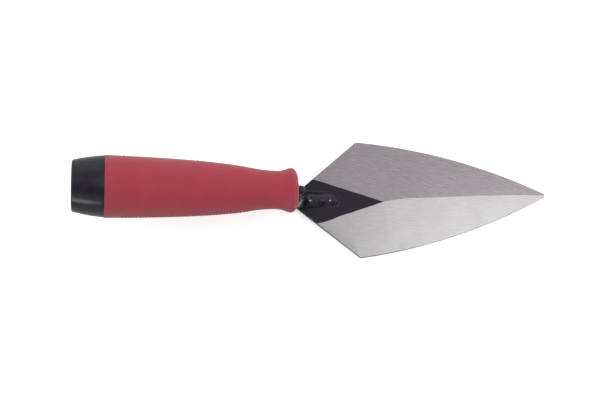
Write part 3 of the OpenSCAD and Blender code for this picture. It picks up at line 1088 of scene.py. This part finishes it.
def vertex_points(obj):
    """The mesh's points in millimetres."""
    co = np.zeros(len(obj.data.vertices) * 3)
    obj.data.vertices.foreach_get("co", co)
    return co.reshape(-1, 3) / MM


def brush_uv(obj):
    """UV map for the brush lines, in metres: u runs along the lines and v across them. The lines
    slant down to the tip on the +y facet, and run nearly level on the other faces."""
    mesh = obj.data
    xyz = vertex_points(obj)[corner_numbers(mesh, "vertex_index")] * MM
    slant = np.radians(np.array(LINE_SLANTS)[corner_patches(mesh)])
    u = xyz[:, 0] * np.cos(slant) + xyz[:, 1] * np.sin(slant)
    v = -xyz[:, 0] * np.sin(slant) + xyz[:, 1] * np.cos(slant) + xyz[:, 2]
    layer = mesh.uv_layers.new(name="brush")
    layer.data.foreach_set("uv", np.column_stack([u, v]).astype(np.float32).ravel())


def rim_only(mesh):
    """One at the points that only the rim's faces use, and nothing elsewhere."""
    point = corner_numbers(mesh, "vertex_index")
    rim = np.isin(corner_patches(mesh), (HEEL_RIM, EDGE_RIM))
    used = np.zeros((2, len(mesh.vertices)), bool)
    used[0, point[rim]] = True
    used[1, point[~rim]] = True
    return used[0] & ~used[1]


def blade_rim_shade_and_highlight(obj):
    """How much painted shade a point of the rim gets: all of it gets some, but on the -y side it
    passes from more painted shade at the shoulder to a painted highlight towards the tip."""
    xyz = vertex_points(obj)
    # From painted shade near the shoulder to a painted highlight towards the tip.
    rim_shade_to_highlight = np.interp(xyz[:, 0], [45.0, 75.0], [1.3, -1.0])
    return rim_only(obj.data) * np.where(xyz[:, 1] < 0, rim_shade_to_highlight, 1.0)


def line_strength(obj):
    """How strong the brush lines are: one on the +y side of the crease, FINE_LINES beyond it."""
    xyz = vertex_points(obj)
    left = xyz[:, 1] > np.interp(xyz[:, 0], CREASE[:, 0], CREASE[:, 1])
    return np.where(left, 1.0, FINE_LINES)


def forging_wear_and_glints(xyz):
    """How much a point of the forging is worn or carries a painted highlight: real wear along the
    crest's two long edges, two painted glints on the -y one, and a painted highlight streak down
    the post, all shown as bare metal. Glints and streak fall off as exp(-(distance / size)
    squared)."""
    st = FOOT_STATIONS
    crest = np.interp(xyz[:, 0], st[:, 0], st[:, 2]) / 2
    high = np.interp(xyz[:, 0], st[:, 0], st[:, 3]) + BLADE_T
    away = np.hypot(np.abs(xyz[:, 1]) - crest, xyz[:, 2] - high)
    edge = 0.9 * np.clip(1.2 - away / 0.7, 0, 1) * (xyz[:, 0] > 3)
    # Painted glints on the crest and a painted highlight streak down the post, shown as bare
    # metal.
    for glint in PAINTED_GLINTS:
        spot = np.hypot(away, xyz[:, 0] - glint)
        edge = edge + 3 * np.exp(-(spot / 0.42) ** 2) * (xyz[:, 1] < 0)
    start, run = PAINTED_HIGHLIGHT_STREAK[0], PAINTED_HIGHLIGHT_STREAK[1] - PAINTED_HIGHLIGHT_STREAK[0]
    share = np.clip((xyz - start) @ run / (run @ run), 0, 1)
    streak = np.linalg.norm(xyz - start - share[:, None] * run, axis=1)
    edge = edge + 3.0 * np.exp(-(streak / 0.95) ** 2)
    return edge


# ---------------------------------------------------------------- operators

class TROWEL_OT_stage(bpy.types.Operator):
    """Make the floor, the soft light and the camera"""
    bl_idname = "trowel.stage"
    bl_label = "Stage"

    def execute(self, context):
        make_floor()
        make_light()
        make_camera()
        return {"FINISHED"}


class TROWEL_OT_blade(bpy.types.Operator):
    """Make the blade with its lacquered heel and its two ground facets"""
    bl_idname = "trowel.blade"
    bl_label = "Blade"

    def execute(self, context):
        sizes, looks = context.scene.trowel_sizes, context.scene.trowel_finishes
        obj = put_mesh("blade_plate", *blade_points(sizes.rim_bevel / MM))
        brush_uv(obj)
        # The edge attribute holds the rim's painted shade and painted highlight.
        set_attribute(obj, "edge", blade_rim_shade_and_highlight(obj))
        set_attribute(obj, "coarse", line_strength(obj))
        steel = steel_material(looks.steel, sizes.brush_width)
        black = lacquer_material("Heel lacquer", looks.lacquer, scaled(looks.steel, 0.7))
        finish_piece(obj, (steel, black), "blade_steel", "blade")
        lacquered = np.isin(face_patches(obj.data), (CHEVRON, HEEL_RIM))
        obj.data.polygons.foreach_set("material_index", lacquered.astype(np.int32))
        obj.data.update()
        return {"FINISHED"}


class TROWEL_OT_shank(bpy.types.Operator):
    """Make the forged shank and the weld bead round its foot"""
    bl_idname = "trowel.shank"
    bl_label = "Shank"

    def execute(self, context):
        sizes, looks = context.scene.trowel_sizes, context.scene.trowel_finishes
        lacquer = lacquer_material("Shank lacquer", looks.lacquer, scaled(looks.steel, 0.9), 0.1)
        points, faces = surface_net(forging_distance, (-13.4, -7.2, 2.4), (23.2, 7.2, 31.0), 0.3)
        rod, rod_faces = tang_points()
        faces = np.concatenate([faces, rod_faces + len(points)])
        obj = put_mesh("shank_forging", np.concatenate([points, rod]), faces)
        # The edge attribute holds real wear on the crest and the painted glints and highlight
        # streak.
        set_attribute(obj, "edge", forging_wear_and_glints(vertex_points(obj)))
        finish_piece(obj, (lacquer,), "black_lacquer", "shank")
        bead = put_mesh("foot_weld", *bead_points(sizes.bead_leg / MM))
        finish_piece(bead, (lacquer,), "black_lacquer", "weld_bead")
        return {"FINISHED"}


class TROWEL_OT_grip(bpy.types.Operator):
    """Make the soft grip and the dots on its underside"""
    bl_idname = "trowel.grip"
    bl_label = "Grip"

    def execute(self, context):
        sizes, looks = context.scene.trowel_sizes, context.scene.trowel_finishes
        rubber = rubber_material("Soft red rubber", looks.grip)
        profile = grip_profile()
        obj = put_mesh("soft_grip", *revolve(profile, 192, front_lean(profile)))
        finish_piece(obj, (rubber,), "red_soft_grip", "grip_sleeve")
        dots = put_mesh("grip_dots", *dot_points(sizes.dot_pitch / MM, sizes.dot_radius / MM,
                                                 sizes.dot_height / MM))
        finish_piece(dots, (rubber,), "red_soft_grip")
        return {"FINISHED"}


class TROWEL_OT_butt_cap(bpy.types.Operator):
    """Make the butt cap with its spigot"""
    bl_idname = "trowel.butt_cap"
    bl_label = "Butt cap"

    def execute(self, context):
        looks = context.scene.trowel_finishes
        profile = cap_profile()
        obj = put_mesh("butt_end_cap", *revolve(profile, 160, end_lean(profile)))
        s = (vertex_points(obj) - AXIS_START) @ AXIS
        set_attribute(obj, "edge", np.exp(-((s - CAP_END_S + 0.5) / 0.7) ** 2))
        finish_piece(obj, (plastic_material("Cap plastic", looks.cap, 0.17, 0.12),),
                     "cap_plastic", "butt_cap")
        return {"FINISHED"}


class TROWEL_OT_inner_parts(bpy.types.Operator):
    """Finish the core, washer and nut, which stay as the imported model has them"""
    bl_idname = "trowel.inner_parts"
    bl_label = "Core, washer and nut"

    def execute(self, context):
        looks = context.scene.trowel_finishes
        core = plastic_material("Core plastic", CORE_BLACK, 0.45, 0.2)
        zinc = zinc_material("Zinc plate", looks.zinc)
        for name, mat in (("handle_core", core), ("tang_washer", zinc), ("tang_nut", zinc)):
            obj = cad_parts[name]
            obj.data.materials.clear()
            obj.data.materials.append(mat)
        return {"FINISHED"}


class TROWEL_PT_panel(bpy.types.Panel):
    """Lists the trowel's sizes, finishes and pieces"""
    bl_label = "Brick trowel"
    bl_idname = "TROWEL_PT_panel"
    bl_space_type = "VIEW_3D"
    bl_region_type = "UI"
    bl_category = "Trowel"

    def draw(self, context):
        layout = self.layout
        for group in (context.scene.trowel_sizes, context.scene.trowel_finishes):
            for name in group.__annotations__:
                layout.prop(group, name)
        for piece in PIECES:
            layout.operator(piece.bl_idname)


PIECES = (TROWEL_OT_stage, TROWEL_OT_blade, TROWEL_OT_shank, TROWEL_OT_grip,
          TROWEL_OT_butt_cap, TROWEL_OT_inner_parts)
CLASSES = (TrowelSizes, TrowelFinishes, *PIECES, TROWEL_PT_panel)


def register():
    """Registers the classes, and gives every scene its sizes and finishes."""
    for cls in CLASSES:
        bpy.utils.register_class(cls)
    bpy.types.Scene.trowel_sizes = bpy.props.PointerProperty(type=TrowelSizes)
    bpy.types.Scene.trowel_finishes = bpy.props.PointerProperty(type=TrowelFinishes)


def unregister():
    """Takes back what register gave."""
    del bpy.types.Scene.trowel_finishes
    del bpy.types.Scene.trowel_sizes
    for cls in reversed(CLASSES):
        bpy.utils.unregister_class(cls)


def main():
    """Makes the stage and every piece."""
    register()
    bpy.ops.trowel.stage()
    bpy.ops.trowel.blade()
    bpy.ops.trowel.shank()
    bpy.ops.trowel.grip()
    bpy.ops.trowel.butt_cap()
    bpy.ops.trowel.inner_parts()


if __name__ == "__main__":
    main()
